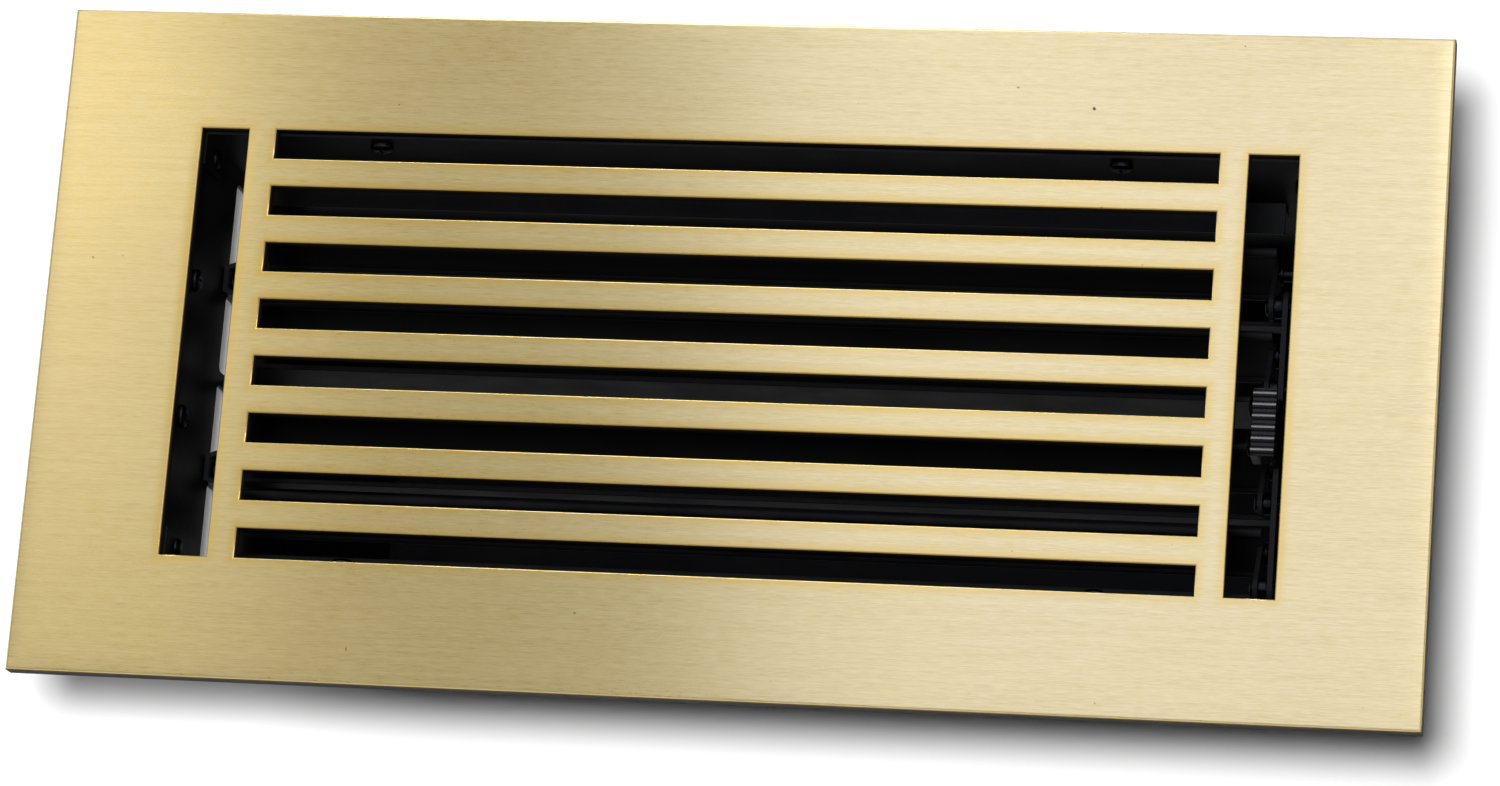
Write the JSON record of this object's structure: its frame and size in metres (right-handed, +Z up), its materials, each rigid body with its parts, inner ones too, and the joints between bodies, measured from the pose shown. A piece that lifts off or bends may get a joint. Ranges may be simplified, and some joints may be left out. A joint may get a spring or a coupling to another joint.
{
  "type": "floor register",
  "caption": "Rectangular solid brass floor register with long slots over a black steel damper box, its parallel blades worked together by a ribbed thumb tab in an end slot.",
  "frame": {"origin": "centre of the plate on the floor plane, which the underside of the plate's rim rests on", "axes": "+X along the plate towards the thumb tab, +Y across the plate, +Z up out of the floor"},
  "size_m": [0.298, 0.146, 0.0468],
  "materials": {
    "solid_brass": "satin, fine grain along the plate",
    "black_steel": "semi-gloss black paint",
    "black_zinc": "black zinc plate",
    "spring_steel": "dark rolled strip",
    "black_plastic": "moulded, semi-gloss",
    "bush_plastic": "moulded, matt"
  },
  "bodies": {
    "frame": {"faceplate": "solid_brass", "rear_wall": "black_steel", "front_wall": "black_steel", "left_end_wall": "black_steel", "right_end_wall": "black_steel", "centre_divider": "black_steel", "rear_stiffener": "black_steel", "front_stiffener": "black_steel", "rear_stop_angle": "black_steel", "front_stop_angle": "black_steel", "left_pivot_rail": "black_steel", "friction_spring": "spring_steel", "spring_rivet": "black_zinc", "front_left_corner_rivet": "black_zinc", "rear_left_corner_rivet": "black_zinc", "front_right_corner_rivet": "black_zinc", "rear_right_corner_rivet": "black_zinc", "front_rail_rivet": "black_zinc", "rear_rail_rivet": "black_zinc", "left_end_front_screw": "black_zinc", "left_end_rear_screw": "black_zinc", "right_end_front_screw": "black_zinc", "right_end_rear_screw": "black_zinc", "front_side_left_screw": "black_zinc", "front_side_right_screw": "black_zinc", "rear_side_left_screw": "black_zinc", "rear_side_right_screw": "black_zinc", "blade_1_left_bush": "bush_plastic", "blade_1_right_bush": "bush_plastic", "blade_2_left_bush": "bush_plastic", "blade_2_right_bush": "bush_plastic", "blade_3_left_bush": "bush_plastic", "blade_3_right_bush": "bush_plastic", "blade_4_left_bush": "bush_plastic", "blade_4_right_bush": "bush_plastic"},
    "blade_1": {"blade_1": "black_steel", "blade_1_left_pin": "black_zinc", "blade_1_right_pin": "black_zinc", "blade_1_crank_pin": "black_zinc"},
    "blade_2": {"blade_2": "black_steel", "blade_2_left_pin": "black_zinc", "blade_2_right_pin": "black_zinc", "blade_2_crank_pin": "black_zinc"},
    "blade_3": {"blade_3": "black_steel", "blade_3_left_pin": "black_zinc", "blade_3_right_pin": "black_zinc", "blade_3_crank_pin": "black_zinc"},
    "blade_4": {"blade_4": "black_steel", "blade_4_left_pin": "black_zinc", "blade_4_right_pin": "black_zinc", "blade_4_crank_pin": "black_zinc"},
    "link": {"link_bar": "black_steel", "thumb_tab": "black_plastic", "thumb_tab_rivet_1": "black_zinc", "thumb_tab_rivet_2": "black_zinc"}
  },
  "joints": [
    {"name": "blade_1_hinge", "type": "hinge", "parent": "frame", "child": "blade_1", "pos_m": [0, 0.0303, -0.0292], "axis": [-1, 0, 0], "range_deg": [0, 66]},
    {"name": "blade_2_hinge", "type": "hinge", "parent": "frame", "child": "blade_2", "pos_m": [0, 0.0121, -0.0292], "axis": [-1, 0, 0], "range_deg": [0, 66]},
    {"name": "blade_3_hinge", "type": "hinge", "parent": "frame", "child": "blade_3", "pos_m": [0, -0.0121, -0.0292], "axis": [-1, 0, 0], "range_deg": [0, 66]},
    {"name": "blade_4_hinge", "type": "hinge", "parent": "frame", "child": "blade_4", "pos_m": [0, -0.0303, -0.0292], "axis": [-1, 0, 0], "range_deg": [0, 66]},
    {"name": "link_hinge", "type": "hinge", "parent": "blade_1", "child": "link", "pos_m": [0.1146, 0.02111, -0.02149], "axis": [-1, 0, 0], "range_deg": [-66, 0]}
  ],
  "couplings": [
    {"joint": "blade_2_hinge", "follows": "blade_1_hinge", "ratio": 1},
    {"joint": "blade_3_hinge", "follows": "blade_1_hinge", "ratio": 1},
    {"joint": "blade_4_hinge", "follows": "blade_1_hinge", "ratio": 1},
    {"joint": "link_hinge", "follows": "blade_1_hinge", "ratio": -1}
  ]
}
